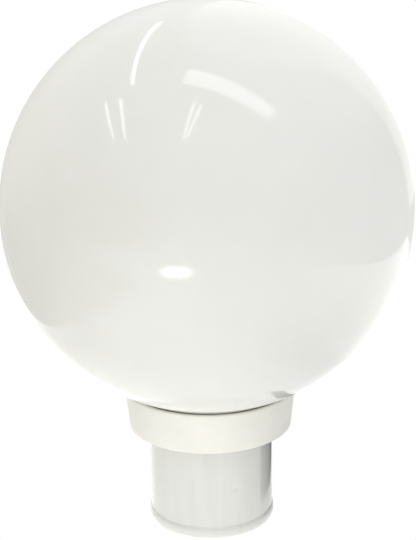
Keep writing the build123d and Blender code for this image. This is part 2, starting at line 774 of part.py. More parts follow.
# ---- bulb body: white moulded housing that flares from the cap to the dome ----
board_ledge_z = housing_top_z - 1.8
waist_z = housing_low_z + housing_waist_height
cap_grip_radius = cap_root_radius + lead_gap
cap_grip_z = housing_low_z + 4.5
with BuildPart() as bulb_body:
    with BuildSketch(Plane.XZ):
        with BuildLine():
            ThreePointArc(
                (housing_low_radius, housing_low_z),
                (housing_waist_radius, waist_z),
                (housing_top_radius, housing_top_z),
            )
            Polyline(
                (housing_top_radius, housing_top_z),
                (light_board_radius + 0.1, housing_top_z),
                (light_board_radius + 0.1, board_ledge_z),
                (light_board_radius - light_board_rim, board_ledge_z),
            )
            ThreePointArc(
                (light_board_radius - light_board_rim, board_ledge_z),
                (housing_waist_radius - housing_wall, waist_z + 0.5),
                (cap_grip_radius, cap_grip_z),
            )
            Polyline(
                (cap_grip_radius, cap_grip_z),
                (cap_grip_radius, housing_low_z),
                (housing_low_radius, housing_low_z),
            )
        make_face()
    revolve(axis=Axis.Z)
keep(bulb_body, "bulb_body")

# ---- driver board and its parts, upright inside the housing ----
driver_low_z = housing_low_z + 1.0
with BuildPart() as bulb_driver_board:
    with Locations((0, 0, driver_low_z)):
        Box(
            driver_width, driver_thick, driver_height,
            align=(Align.CENTER, Align.CENTER, Align.MIN),
        )
keep(bulb_driver_board, "bulb_driver_board")

parts_z = driver_low_z + 20.0
with BuildPart() as bulb_driver_parts:
    with Locations((-3.0, driver_thick / 2, parts_z)):
        Box(8.0, 6.0, 7.0, align=(Align.CENTER, Align.MIN, Align.CENTER))
    with Locations((4.0, -driver_thick / 2, parts_z)):
        Cylinder(3.5, 7.0, rotation=(90, 0, 0), align=(Align.CENTER, Align.CENTER, Align.MIN))
keep(bulb_driver_parts, "bulb_driver_parts")

# ---- light board and its ring of emitters ----
with BuildPart() as bulb_led_board:
    with BuildSketch(Plane.XY.offset(board_ledge_z)):
        Circle(light_board_radius)
    extrude(amount=light_board_thick)
keep(bulb_led_board, "bulb_led_board")

with BuildPart() as bulb_leds:
    with BuildSketch(Plane.XY.offset(board_ledge_z + light_board_thick)):
        with PolarLocations(emitter_ring_radius, emitter_count):
            Rectangle(emitter_width, emitter_width)
    extrude(amount=emitter_height)
keep(bulb_leds, "bulb_leds")

# ---- bulb diffuser: opal dome standing on the housing's rim ----
dome_foot_radius = sphere_height(dome_radius, dome_centre_z - housing_top_z)
dome_inner_foot = sphere_height(dome_radius - dome_wall, dome_centre_z - housing_top_z)
with BuildPart() as bulb_diffuser:
    with BuildSketch(Plane.XZ):
        with BuildLine():
            ThreePointArc(
                (dome_foot_radius, housing_top_z),
                (dome_radius, dome_centre_z),
                (0, dome_centre_z + dome_radius),
            )
            Line((0, dome_centre_z + dome_radius), (0, dome_centre_z + dome_radius - dome_wall))
            ThreePointArc(
                (0, dome_centre_z + dome_radius - dome_wall),
                (dome_radius - dome_wall, dome_centre_z),
                (dome_inner_foot, housing_top_z),
            )
            Line((dome_inner_foot, housing_top_z), (dome_foot_radius, housing_top_z))
        make_face()
    revolve(axis=Axis.Z)
keep(bulb_diffuser, "bulb_diffuser")
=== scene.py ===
import bpy
import json
import numpy as np
from math import cos, pi, radians, sin
from mathutils import Matrix, Vector


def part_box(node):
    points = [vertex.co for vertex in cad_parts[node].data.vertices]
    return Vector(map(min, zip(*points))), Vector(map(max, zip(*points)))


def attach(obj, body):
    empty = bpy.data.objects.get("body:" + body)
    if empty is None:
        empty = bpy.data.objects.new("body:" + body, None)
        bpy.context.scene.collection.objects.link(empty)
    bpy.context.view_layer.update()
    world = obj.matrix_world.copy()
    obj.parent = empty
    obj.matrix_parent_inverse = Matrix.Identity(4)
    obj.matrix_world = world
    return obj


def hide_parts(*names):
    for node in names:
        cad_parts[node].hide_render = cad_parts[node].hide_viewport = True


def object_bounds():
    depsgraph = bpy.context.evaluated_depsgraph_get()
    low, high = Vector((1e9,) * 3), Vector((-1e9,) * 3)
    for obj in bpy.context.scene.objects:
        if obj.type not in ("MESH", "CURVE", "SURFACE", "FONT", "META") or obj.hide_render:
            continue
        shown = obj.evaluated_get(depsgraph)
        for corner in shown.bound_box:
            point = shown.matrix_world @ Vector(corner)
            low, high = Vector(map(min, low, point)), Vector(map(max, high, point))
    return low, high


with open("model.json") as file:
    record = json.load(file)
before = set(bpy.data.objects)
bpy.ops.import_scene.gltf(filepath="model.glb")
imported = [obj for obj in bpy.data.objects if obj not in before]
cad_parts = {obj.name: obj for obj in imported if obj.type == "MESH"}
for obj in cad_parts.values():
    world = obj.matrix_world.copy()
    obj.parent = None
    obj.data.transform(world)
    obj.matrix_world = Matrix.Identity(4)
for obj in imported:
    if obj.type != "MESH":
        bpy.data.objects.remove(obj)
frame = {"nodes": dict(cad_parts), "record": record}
cadLow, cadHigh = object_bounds()
mm = 0.001
fullTurn = 2 * pi
touching = 1e-6   # metres: two sizes this near are the same
print("frame loaded:", len(frame["nodes"]), "nodes")


# Helpers that turn profiles into surfaces.

# Points on a circle: (cr + rad cos t, cz + rad sin t) for t between two angles in degrees.
def arcPoints(centreR, centreZ, radius, startDeg, endDeg, count):
    t = np.radians(np.linspace(startDeg, endDeg, count))
    return np.stack([centreR + radius * np.cos(t), centreZ + radius * np.sin(t)], axis=1)


# A straight run cut into equal steps no longer than step: p = a + (b - a) k / n.
def steppedLine(start, end, step):
    count = max(2, int(np.ceil(np.hypot(end[0] - start[0], end[1] - start[1]) / step)) + 1)
    k = np.linspace(0, 1, count)[:, None]
    return np.array(start) + (np.array(end) - np.array(start)) * k


# Each corner (r, z, rounding) gives way to a quarter-like bend: the quadratic curve
# (1-t)^2 a + 2t(1-t) corner + t^2 b, with a and b one rounding away along the two sides.
def roundCorners(corners, closed=True, steps=7):
    pts = np.array([c[:2] for c in corners], float)
    cuts = [c[2] for c in corners]
    t = np.linspace(0, 1, steps)[:, None]
    runs = []
    for i, cut in enumerate(cuts):
        here = pts[i]
        if cut == 0 or (not closed and i in (0, len(cuts) - 1)):
            runs.append(here[None])
            continue
        back = pts[i - 1] - here
        ahead = pts[(i + 1) % len(pts)] - here
        a = here + back / np.hypot(*back) * cut
        b = here + ahead / np.hypot(*ahead) * cut
        runs.append((1 - t) ** 2 * a + 2 * t * (1 - t) * here + t ** 2 * b)
    return np.concatenate(runs)


# Adds rows to the long straight stretches of a profile, so that a shape can be pressed into them.
def fillRows(profile, step, closed=True):
    ends = np.roll(profile, -1, axis=0) if closed else profile[1:]
    starts = profile if closed else profile[:-1]
    runs = [steppedLine(a, b, step)[:-1] for a, b in zip(starts, ends)]
    if not closed:
        runs.append(profile[-1:])
    return np.concatenate(runs)


# Carries a profile (r, z) round the Z axis: x = r cos a, y = r sin a, where shape(r, z, a)
# may change r from place to place. A row at r = 0 is closed to one point.
def turnedPiece(name, profile, columns, closed=True, shape=None, centre=(0, 0)):
    angle = np.linspace(0, fullTurn, columns, endpoint=False)
    r = np.repeat(profile[:, :1], columns, axis=1)
    z = np.repeat(profile[:, 1:], columns, axis=1)
    a = np.repeat(angle[None], len(profile), axis=0)
    if shape is not None:
        r = shape(r, z, a)
    x = centre[0] + r * np.cos(a)
    y = centre[1] + r * np.sin(a)
    points = np.stack([x, y, z], axis=-1).reshape(-1, 3)
    index = np.arange(len(points)).reshape(len(profile), columns)
    if not closed:
        for row in (0, -1):
            if profile[row, 0] < touching:
                index[row] = index[row, 0]
    below = np.roll(index, -1, axis=0) if closed else index[1:]
    above = index if closed else index[:-1]
    quads = np.stack([above, below, np.roll(below, -1, axis=1), np.roll(above, -1, axis=1)], axis=-1)
    quads = quads.reshape(-1, 4)
    topFan = quads[:, 0] == quads[:, 3]
    lowFan = quads[:, 1] == quads[:, 2]
    faces = quads[~topFan & ~lowFan].tolist()
    faces += quads[topFan][:, [0, 1, 2]].tolist()
    faces += quads[lowFan][:, [0, 1, 3]].tolist()
    return meshPiece(name, points, faces)


# Puts points and faces into a smooth-shaded mesh object, without points that no face uses.
def meshPiece(name, points, faces):
    mesh = bpy.data.meshes.new(name)
    used = np.unique(np.concatenate(faces))
    renumber = np.zeros(len(points), int)
    renumber[used] = np.arange(len(used))
    mesh.from_pydata(points[used].tolist(), [], [renumber[f].tolist() for f in faces])
    mesh.shade_smooth()
    piece = bpy.data.objects.new(name, mesh)
    bpy.context.scene.collection.objects.link(piece)
    return piece


# Height of a thread ridge at each point: the axial distance d from the helix
# z = start + pitch (turns + a / 2 pi) is turned into a trapezoid, 1 on the crest and 0 at the foot.
def ridgeHeight(z, a, start, pitch, turns, crestWidth, rootWidth):
    turn = np.round((z - start) / pitch - a / fullTurn)
    along = turn + a / fullTurn
    d = np.abs(z - start - pitch * along)
    flank = np.clip((rootWidth / 2 - d) / ((rootWidth - crestWidth) / 2), 0, 1)
    ends = np.clip(np.minimum(along, turns - along) / 0.02, 0, 1)
    return flank * ends


# Materials.

# sRGB hex to linear: c / 12.92 below 0.04045, else ((c + 0.055) / 1.055) ^ 2.4.
def linearColour(code):
    c = np.array([int(code[i:i + 2], 16) for i in (0, 2, 4)]) / 255
    c = np.where(c <= 0.04045, c / 12.92, ((c + 0.055) / 1.055) ** 2.4)
    return (*c.tolist(), 1.0)


# Adds a node, gives its sockets or properties their settings, and links its inputs.
def addNode(tree, kind, settings=None, links=None):
    node = tree.nodes.new(kind)
    for key, value in (settings or {}).items():
        if key in node.inputs:
            node.inputs[key].default_value = value
        else:
            setattr(node, key, value)
    for key, (source, output) in (links or {}).items():
        tree.links.new(source.outputs[output], node.inputs[key])
    return node


# A surface with two drifting colours, a drifting roughness and a fine relief.
# patchMm is the size of a colour patch, grainMm of the relief, reliefMm its depth.
def surfaceMaterial(name, look):
    material = bpy.data.materials.new(name)
    material.use_nodes = True
    tree = material.node_tree
    tree.nodes.clear()
    place = addNode(tree, "ShaderNodeTexCoord")
    stretched = addNode(tree, "ShaderNodeMapping", {"Scale": look.get("stretch", (1, 1, 1))},
                        {"Vector": (place, "Object")})
    patches = addNode(tree, "ShaderNodeTexNoise",
                      {"Scale": 1 / (look["patchMm"] * mm), "Detail": 3.0, "Roughness": 0.55},
                      {"Vector": (stretched, "Vector")})
    # the noise seldom leaves 0.3 to 0.7, so that span is stretched over the two colours
    spread = addNode(tree, "ShaderNodeMapRange",
                     {"From Min": 0.32, "From Max": 0.68, "To Min": 0.0, "To Max": 1.0},
                     {"Value": (patches, "Fac")})
    colour = addNode(tree, "ShaderNodeMix", {"data_type": "RGBA"})
    colour.inputs[6].default_value = linearColour(look["colours"][0])
    colour.inputs[7].default_value = linearColour(look["colours"][1])
    tree.links.new(spread.outputs["Result"], colour.inputs[0])
    rough = addNode(tree, "ShaderNodeMapRange",
                    {"From Min": 0.3, "From Max": 0.7, "To Min": look["roughness"][0],
                     "To Max": look["roughness"][1]},
                    {"Value": (patches, "Fac")})
    grain = addNode(tree, "ShaderNodeTexNoise",
                    {"Scale": 1 / (look["grainMm"] * mm), "Detail": 2.0, "Roughness": 0.5},
                    {"Vector": (stretched, "Vector")})
    relief = addNode(tree, "ShaderNodeBump",
                     {"Strength": 1.0, "Distance": look["reliefMm"] * mm},
                     {"Height": (grain, "Fac")})
    shader = addNode(tree, "ShaderNodeBsdfPrincipled", look.get("shader", {}),
                     {"Base Color": (colour, 2), "Roughness": (rough, "Result"),
                      "Normal": (relief, "Normal")})
    addNode(tree, "ShaderNodeOutputMaterial", {}, {"Surface": (shader, "BSDF")})
    return material


# Acrylic, blown into a mould: a milky shell with a fire-smooth gloss and a slow swell in the
# reflections where the wall's thickness drifts. Its faint emission is a painted glow: the shell
# lights itself evenly, which brightens the whole ball and flattens its shading.
def opalAcrylicWithPaintedGlow():
    return surfaceMaterial("opalAcrylicWithPaintedGlow", {
        "colours": ("c7c8c5", "cccdca"), "patchMm": 90.0, "roughness": (0.05, 0.08),
        "grainMm": 70.0, "reliefMm": 0.35,
        "shader": {"IOR": 1.49, "Subsurface Weight": 0.3, "Subsurface Scale": 0.01,
                   "Subsurface Radius": (1.0, 0.95, 0.85),
                   # painted glow: a faint even emission that brightens and flattens the ball's shading
                   "Emission Color": (1.0, 0.995, 0.97, 1.0), "Emission Strength": 0.16},
    })


# ABS, injection-moulded: warm off-white, a soft gloss and a fine texture from the tool.
# The real texture is about 0.2 mm; it is drawn at 0.9 mm so that it shows.
def mouldedCreamPlastic():
    return surfaceMaterial("mouldedCreamPlastic", {
        "colours": ("f0f0ea", "f5f5ef"), "patchMm": 24.0, "roughness": (0.34, 0.44),
        "grainMm": 0.9, "reliefMm": 0.012,
        "shader": {"IOR": 1.54, "Subsurface Weight": 0.08, "Subsurface Scale": 0.003},
    })


# Powder coat on spun aluminium: white gloss with orange peel, drawn out along the tube by the
# spinning marks beneath. Real orange peel is about 1.5 mm across.
def glossPowderCoat():
    return surfaceMaterial("glossPowderCoat", {
        "colours": ("dfe0dd", "e4e5e2"), "patchMm": 7.0, "stretch": (1, 1, 0.12),
        "roughness": (0.14, 0.22), "grainMm": 2.0, "reliefMm": 0.01,
        "shader": {"IOR": 1.5, "Coat Weight": 0.4, "Coat Roughness": 0.06},
    })


# EPDM rubber, moulded: dark grey-brown, matt, with a bloom of dust in patches.
def mouldedRubber():
    return surfaceMaterial("mouldedRubber", {
        "colours": ("857b6d", "998e7e"), "patchMm": 6.0, "roughness": (0.62, 0.78),
        "grainMm": 0.8, "reliefMm": 0.02, "shader": {"IOR": 1.52},
    })


# Polyethylene foam, closed cells about 0.6 mm across: grey and dull, with open cells at its cut edge.
def closedCellFoam():
    return surfaceMaterial("closedCellFoam", {
        "colours": ("3c3d40", "55565a"), "patchMm": 2.0, "roughness": (0.8, 0.92),
        "grainMm": 0.7, "reliefMm": 0.08, "shader": {"IOR": 1.45},
    })


# Mild steel, zinc plated and passivated: a bluish bright metal with a faint cloudy bloom.
def zincPlatedSteel():
    return surfaceMaterial("zincPlatedSteel", {
        "colours": ("b9bec2", "cfd2d2"), "patchMm": 5.0, "roughness": (0.24, 0.4),
        "grainMm": 0.5, "reliefMm": 0.006, "shader": {"Metallic": 1.0},
    })


# The same plating, dyed green to mark the ground.
def greenDyedZinc():
    return surfaceMaterial("greenDyedZinc", {
        "colours": ("1f6b35", "2f8a48"), "patchMm": 3.0, "roughness": (0.25, 0.38),
        "grainMm": 0.5, "reliefMm": 0.006, "shader": {"Metallic": 0.8},
    })


# Copper, stamped and tinned: soft grey shine with rubbed spots.
def tinnedCopper():
    return surfaceMaterial("tinnedCopper", {
        "colours": ("b5b1a8", "cac8c2"), "patchMm": 2.5, "roughness": (0.28, 0.42),
        "grainMm": 0.4, "reliefMm": 0.008, "shader": {"Metallic": 1.0},
    })


# Porcelain, dipped in clear glaze: white, wet-looking, with slight pooling of the glaze.
def glazedPorcelain():
    return surfaceMaterial("glazedPorcelain", {
        "colours": ("e7e3d8", "f1eee6"), "patchMm": 12.0, "roughness": (0.06, 0.14),
        "grainMm": 7.0, "reliefMm": 0.06, "shader": {"IOR": 1.52, "Coat Weight": 0.6, "Coat Roughness": 0.04},
    })


# Brass strip, stamped: yellow metal with rolling lines and a little tarnish.
def stampedBrass():
    return surfaceMaterial("stampedBrass", {
        "colours": ("a98442", "c8a55c"), "patchMm": 3.0, "stretch": (1, 1, 4),
        "roughness": (0.22, 0.38), "grainMm": 0.6, "reliefMm": 0.006, "shader": {"Metallic": 1.0},
    })


# Nylon, natural, moulded: milky, faintly see-through, satin.
def naturalNylon():
    return surfaceMaterial("naturalNylon", {
        "colours": ("d9d5c6", "e6e3d7"), "patchMm": 6.0, "roughness": (0.38, 0.5),
        "grainMm": 0.7, "reliefMm": 0.01,
        "shader": {"IOR": 1.53, "Subsurface Weight": 0.3, "Subsurface Scale": 0.002},
    })


# PVC insulation, extruded round the conductor: satin, with faint drag lines.
def extrudedInsulation(name, colours):
    return surfaceMaterial(name, {
        "colours": colours, "patchMm": 4.0, "roughness": (0.36, 0.48),
        "grainMm": 0.6, "reliefMm": 0.01, "shader": {"IOR": 1.53},
    })


# Tin solder, set in a button: grey, rippled, half dull.
def dullSolder():
    return surfaceMaterial("dullSolder", {
        "colours": ("9b9b98", "b4b4b0"), "patchMm": 2.0, "roughness": (0.35, 0.55),
        "grainMm": 1.2, "reliefMm": 0.05, "shader": {"Metallic": 1.0},
    })


# Glass, fused black: deep and glossy with small flow marks.
def fusedBlackGlass():
    return surfaceMaterial("fusedBlackGlass", {
        "colours": ("0b0b0c", "151517"), "patchMm": 3.0, "roughness": (0.08, 0.16),
        "grainMm": 1.5, "reliefMm": 0.02, "shader": {"IOR": 1.52},
    })


# Brass shell, rolled to a thread and nickel plated: warm silver with rolling marks.
def nickelPlatedShell():
    return surfaceMaterial("nickelPlatedShell", {
        "colours": ("b9b4a8", "cfcabf"), "patchMm": 4.0, "stretch": (1, 1, 3),
        "roughness": (0.14, 0.26), "grainMm": 0.6, "reliefMm": 0.005, "shader": {"Metallic": 1.0},
    })


# PBT, injection-moulded: plain white with a fine spark texture.
def mouldedWhiteHousing():
    return surfaceMaterial("mouldedWhiteHousing", {
        "colours": ("e6e6e3", "efefec"), "patchMm": 14.0, "roughness": (0.42, 0.52),
        "grainMm": 0.7, "reliefMm": 0.015, "shader": {"IOR": 1.55},
    })


# Glass-epoxy board under green solder mask: the weave shows faintly through.
def circuitBoard():
    return surfaceMaterial("circuitBoard", {
        "colours": ("1c5a33", "27713f"), "patchMm": 1.4, "roughness": (0.28, 0.4),
        "grainMm": 0.5, "reliefMm": 0.01, "shader": {"IOR": 1.5},
    })


# Moulded and sleeved components: charcoal, satin.
def darkComponents():
    return surfaceMaterial("darkComponents", {
        "colours": ("17171a", "26262a"), "patchMm": 3.0, "roughness": (0.35, 0.55),
        "grainMm": 0.6, "reliefMm": 0.01, "shader": {"IOR": 1.5},
    })


# Aluminium board under white solder mask: bright, flat, slightly glossy.
def whiteMaskedBoard():
    return surfaceMaterial("whiteMaskedBoard", {
        "colours": ("e1e2e2", "ececec"), "patchMm": 8.0, "roughness": (0.3, 0.4),
        "grainMm": 0.6, "reliefMm": 0.006, "shader": {"IOR": 1.5},
    })


# Silicone filled with phosphor: egg-yolk yellow, satin.
def yellowPhosphor():
    return surfaceMaterial("yellowPhosphor", {
        "colours": ("d9b23c", "e6c552"), "patchMm": 0.8, "roughness": (0.3, 0.42),
        "grainMm": 0.4, "reliefMm": 0.01,
        "shader": {"IOR": 1.41, "Subsurface Weight": 0.3, "Subsurface Scale": 0.0005},
    })


# Polycarbonate, blown and frosted inside: soft white, no sharp reflection.
def frostedDiffuser():
    return surfaceMaterial("frostedDiffuser", {
        "colours": ("e9e9e5", "f2f2ee"), "patchMm": 20.0, "roughness": (0.4, 0.5),
        "grainMm": 1.0, "reliefMm": 0.01,
        "shader": {"IOR": 1.58, "Subsurface Weight": 0.4, "Subsurface Scale": 0.004},
    })


finishes = {
    "opal_acrylic": opalAcrylicWithPaintedGlow(),
    "cream_plastic": mouldedCreamPlastic(),
    "white_powder_coat": glossPowderCoat(),
    "black_rubber": mouldedRubber(),
    "grey_foam": closedCellFoam(),
    "zinc_steel": zincPlatedSteel(),
    "green_steel": greenDyedZinc(),
    "porcelain": glazedPorcelain(),
    "brass": stampedBrass(),
    "tinned_copper": tinnedCopper(),
    "nylon": naturalNylon(),
    "black_insulation": extrudedInsulation("blackInsulation", ("101011", "1c1c1e")),
    "white_insulation": extrudedInsulation("whiteInsulation", ("dcdcd8", "e8e8e5")),
    "green_insulation": extrudedInsulation("greenInsulation", ("14552a", "1f6e38")),
    "solder": dullSolder(),
    "black_glass": fusedBlackGlass(),
    "nickel_brass": nickelPlatedShell(),
    "white_housing": mouldedWhiteHousing(),
    "circuit_board": circuitBoard(),
    "dark_parts": darkComponents(),
    "board_aluminium": whiteMaskedBoard(),
    "phosphor": yellowPhosphor(),
    "opal_diffuser": frostedDiffuser(),
}
for part in frame["record"]["subparts"]:
    node = frame["nodes"][part["node"]]
    node.data.materials.clear()
    node.data.materials.append(finishes[part["material_slot"]])
print("materials ready:", len(finishes))


# Gives a new piece its finish and its body, and hides the CAD nodes that it stands for.
def finishPiece(piece, slotName, body, *nodes):
    piece.data.materials.append(finishes[slotName])
    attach(piece, body)
    if nodes:
        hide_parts(*nodes)
    return piece


# Globe.
globeValues = {
    "wallMm": 2.2, "footRadiusMm": 47.8, "edgeRoundMm": 0.35, "swellMm": 0.05, "columns": 288, "rows": 150,
}


# A ball r = R cos t, z = c + R sin t from its top down to the foot, a flat foot, and the inner
# ball back up. The outer surface swells by a few hundredths: R (1 + s sin 2a cos 3t) as blown.
def buildGlobe(v):
    low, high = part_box("globe")
    radius = (high.x - low.x) / 2
    centreZ = high.z - radius
    foot = v["footRadiusMm"] * mm
    inside = radius - v["wallMm"] * mm
    footZ = centreZ - np.sqrt(radius ** 2 - foot ** 2)
    innerFoot = np.sqrt(inside ** 2 - (centreZ - footZ) ** 2)
    outerEnd = -np.degrees(np.arccos((foot + 1.2 * mm) / radius))
    innerEnd = -np.degrees(np.arccos((innerFoot + 1.2 * mm) / inside))
    outer = arcPoints(0, centreZ, radius, 90, outerEnd, v["rows"])
    inner = arcPoints(0, centreZ, inside, innerEnd, 90, v["rows"] // 2)
    outer[0, 0] = 0
    inner[-1, 0] = 0
    cut = v["edgeRoundMm"] * mm
    edge = roundCorners([
        (outer[-1, 0], outer[-1, 1], 0), (foot, footZ, cut), (innerFoot, footZ, cut),
        (inner[0, 0], inner[0, 1], 0),
    ], closed=False)
    profile = np.concatenate([outer[:-1], edge, inner[1:]])

    def shape(r, z, a):
        t = np.arcsin(np.clip((z - centreZ) / radius, -1, 1))
        onBall = np.clip((z - footZ) / (30 * mm), 0, 1) * np.cos(t)
        return r - onBall * v["swellMm"] * mm * (0.5 + 0.5 * np.sin(2 * a + 0.7) * np.cos(3 * t))

    globe = turnedPiece("globeShell", profile, v["columns"], closed=False, shape=shape)
    return finishPiece(globe, "opal_acrylic", "globe", "globe")


globeShell = buildGlobe(globeValues)
print("globe built")

# Neck seal.
sealValues = {"innerMm": 48.3, "lipInMm": 0.9, "roundMm": 0.25, "columns": 224}


# A soft ring with a slanted lip: (r, z) runs round its section, which is carried round Z.
def buildSeal(v):
    low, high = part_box("neck_seal")
    outer = (high.x - low.x) / 2
    inner = v["innerMm"] * mm
    lip = outer - v["lipInMm"] * mm
    cut = v["roundMm"] * mm
    profile = roundCorners([
        (lip, high.z, cut), (outer, high.z - 0.45 * mm, cut), (outer, low.z, cut),
        (inner, low.z, cut), (inner, high.z - 1.1 * mm, cut),
    ])
    seal = turnedPiece("neckSealRing", profile, v["columns"])
    return finishPiece(seal, "black_rubber", "seal", "neck_seal")


neckSealRing = buildSeal(sealValues)
print("seal built")

# Collar.
collarValues = {
    "draft": 0.105, "skirtWallMm": 3.0, "rimWallMm": 2.6, "pocketMm": 52.4, "pocketDepthMm": 6.1,
    "floorAboveFootMm": 6.5, "floorMm": 3.0, "hubBoreMm": 40.2, "hubWallMm": 2.8,
    "holeMm": 9.0, "threadWallMm": 50.3, "threadStartMm": 2.1, "threadPitchMm": 6.0,
    "threadTurns": 1.0, "ridgeMm": 1.9, "crestMm": 1.6, "rootMm": 2.5,
    "rimRoundMm": 1.1, "footRoundMm": 0.9, "innerRoundMm": 0.4, "rowMm": 0.7, "columns": 256,
    "ribs": 12, "ribMm": 2.0, "ribAboveFootMm": 1.7, "ribEdgeMm": 0.35,
    "bossMm": 3.8, "bossBoreMm": 2.05, "bossHeightMm": 4.0, "bossRootMm": 0.5,
}


# The section (r, z) runs down the drafted outside, in under the floor round the hub, up through
# the hole and over the floor, then up the threaded wall to the ledge and the rim's pocket.
# Where the helix passes, the wall comes in by the ridge: r - ridge height.
def buildCollar(v):
    low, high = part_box("collar")
    pocket = v["pocketMm"] * mm
    rim = pocket + v["rimWallMm"] * mm
    foot = rim - v["draft"] * (high.z - low.z)
    floorUnder = low.z + v["floorAboveFootMm"] * mm
    floorTop = floorUnder + v["floorMm"] * mm
    ledge = high.z - v["pocketDepthMm"] * mm
    wall = v["threadWallMm"] * mm
    skirtFoot = foot - v["skirtWallMm"] * mm
    skirtTop = skirtFoot + v["draft"] * (floorUnder - low.z)
    hubBore = v["hubBoreMm"] * mm
    hubOuter = hubBore + v["hubWallMm"] * mm
    hole = v["holeMm"] * mm
    rimCut = v["rimRoundMm"] * mm
    footCut = v["footRoundMm"] * mm
    small = v["innerRoundMm"] * mm
    profile = roundCorners([
        (rim, high.z, rimCut), (foot, low.z, footCut), (skirtFoot, low.z, small),
        (skirtTop, floorUnder, small), (hubOuter, floorUnder, small), (hubOuter, low.z, small),
        (hubBore, low.z, small), (hubBore, floorUnder, small), (hole, floorUnder, small),
        (hole, floorTop, small), (wall, floorTop, small), (wall, ledge, small),
        (pocket, ledge, small), (pocket, high.z, rimCut * 0.6),
    ])
    profile = fillRows(profile, v["rowMm"] * mm)
    start = floorTop + v["threadStartMm"] * mm

    def shape(r, z, a):
        onWall = (np.abs(r - wall) < touching) & (z > floorTop + small) & (z < ledge - small)
        turned = np.mod(a - pi, fullTurn)   # the thread starts on the left
        ridge = ridgeHeight(z, turned, start, v["threadPitchMm"] * mm, v["threadTurns"],
                            v["crestMm"] * mm, v["rootMm"] * mm)
        return r - onWall * ridge * v["ridgeMm"] * mm

    collar = turnedPiece("collarShell", profile, v["columns"], shape=shape)
    finishPiece(collar, "cream_plastic", "post_cap", "collar")
    ribs = buildRibs(v, hubOuter, skirtTop, low.z, floorUnder)
    finishPiece(ribs, "cream_plastic", "post_cap")
    bosses = [buildBoss(v, name, floorUnder) for name in ("bracket_screw", "ground_screw")]
    return collar, ribs, bosses


# A boss under the floor is a short tube round its screw: r and z run round a rectangle with soft
# corners, and the tube stands at the middle of the screw's box.
def buildBoss(v, screw, floorUnder):
    screwLow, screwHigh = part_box(screw)
    middle = (screwLow + screwHigh) / 2
    outer = v["bossMm"] * mm
    bore = v["bossBoreMm"] * mm
    foot = floorUnder - v["bossHeightMm"] * mm
    top = floorUnder + v["bossRootMm"] * mm
    profile = roundCorners([
        (outer, top, 0), (outer, foot, 0.5 * mm), (bore, foot, 0.3 * mm), (bore, top, 0),
    ])
    boss = turnedPiece(screw + "Boss", profile, 48, centre=(middle.x, middle.y))
    return finishPiece(boss, "cream_plastic", "post_cap")


# Largest radius of a CAD node: half its width, from the wider of its two sides.
def cadBoxRadius(name):
    low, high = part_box(name)
    return max(high.x - low.x, high.y - low.y) / 2


# Each rib is a slab between hub and skirt, turned by 2 pi k / n: its eight corners are
# (r cos - t sin, r sin + t cos, z) for r, t and z at their two limits.
def buildRibs(v, inner, outer, lowZ, topZ):
    half = v["ribMm"] * mm / 2
    r = np.array([inner - 0.4 * mm, outer + 0.2 * mm])
    t = np.array([-half, half])
    z = np.array([lowZ + v["ribAboveFootMm"] * mm, topZ + 0.2 * mm])
    grid = np.stack(np.meshgrid(r, t, z, indexing="ij"), axis=-1).reshape(8, 3)
    turn = np.arange(v["ribs"]) * fullTurn / v["ribs"]
    x = grid[None, :, 0] * np.cos(turn)[:, None] - grid[None, :, 1] * np.sin(turn)[:, None]
    y = grid[None, :, 0] * np.sin(turn)[:, None] + grid[None, :, 1] * np.cos(turn)[:, None]
    zs = np.repeat(grid[None, :, 2], v["ribs"], axis=0)
    points = np.stack([x, y, zs], axis=-1).reshape(-1, 3)
    box = np.array([[0, 1, 3, 2], [4, 6, 7, 5], [0, 4, 5, 1], [2, 3, 7, 6], [0, 2, 6, 4], [1, 5, 7, 3]])
    faces = (box[None] + 8 * np.arange(v["ribs"])[:, None, None]).reshape(-1, 4).tolist()
    ribs = meshPiece("collarRibs", points, faces)
    bevel = ribs.modifiers.new("softEdges", "BEVEL")
    bevel.width = v["ribEdgeMm"] * mm
    bevel.segments = 2
    return ribs


collarShell, collarRibs, collarBosses = buildCollar(collarValues)
print("collar built")

# Post sleeve.
sleeveValues = {
    "wallMm": 1.5, "beadBulgeMm": 1.1, "beadHeightMm": 7.2, "mouthStepMm": 0.3,
    "neckInMm": 1.0, "ledgeMm": 1.0, "ledgeZMm": 63.2, "flangeMm": 1.5, "flangeBoreMm": 27.0,
    "shoulderLowMm": 64.4, "shoulderTopMm": 65.4, "lipMm": 0.35, "rowMm": 0.45, "boreRowMm": 1.2,
    "markZMm": 32.0, "markAngleDeg": -68.0, "markWidthMm": 2.6, "markHeightMm": 1.5,
    "markDepthMm": 0.6, "swellMm": 0.05, "columns": 400,
}


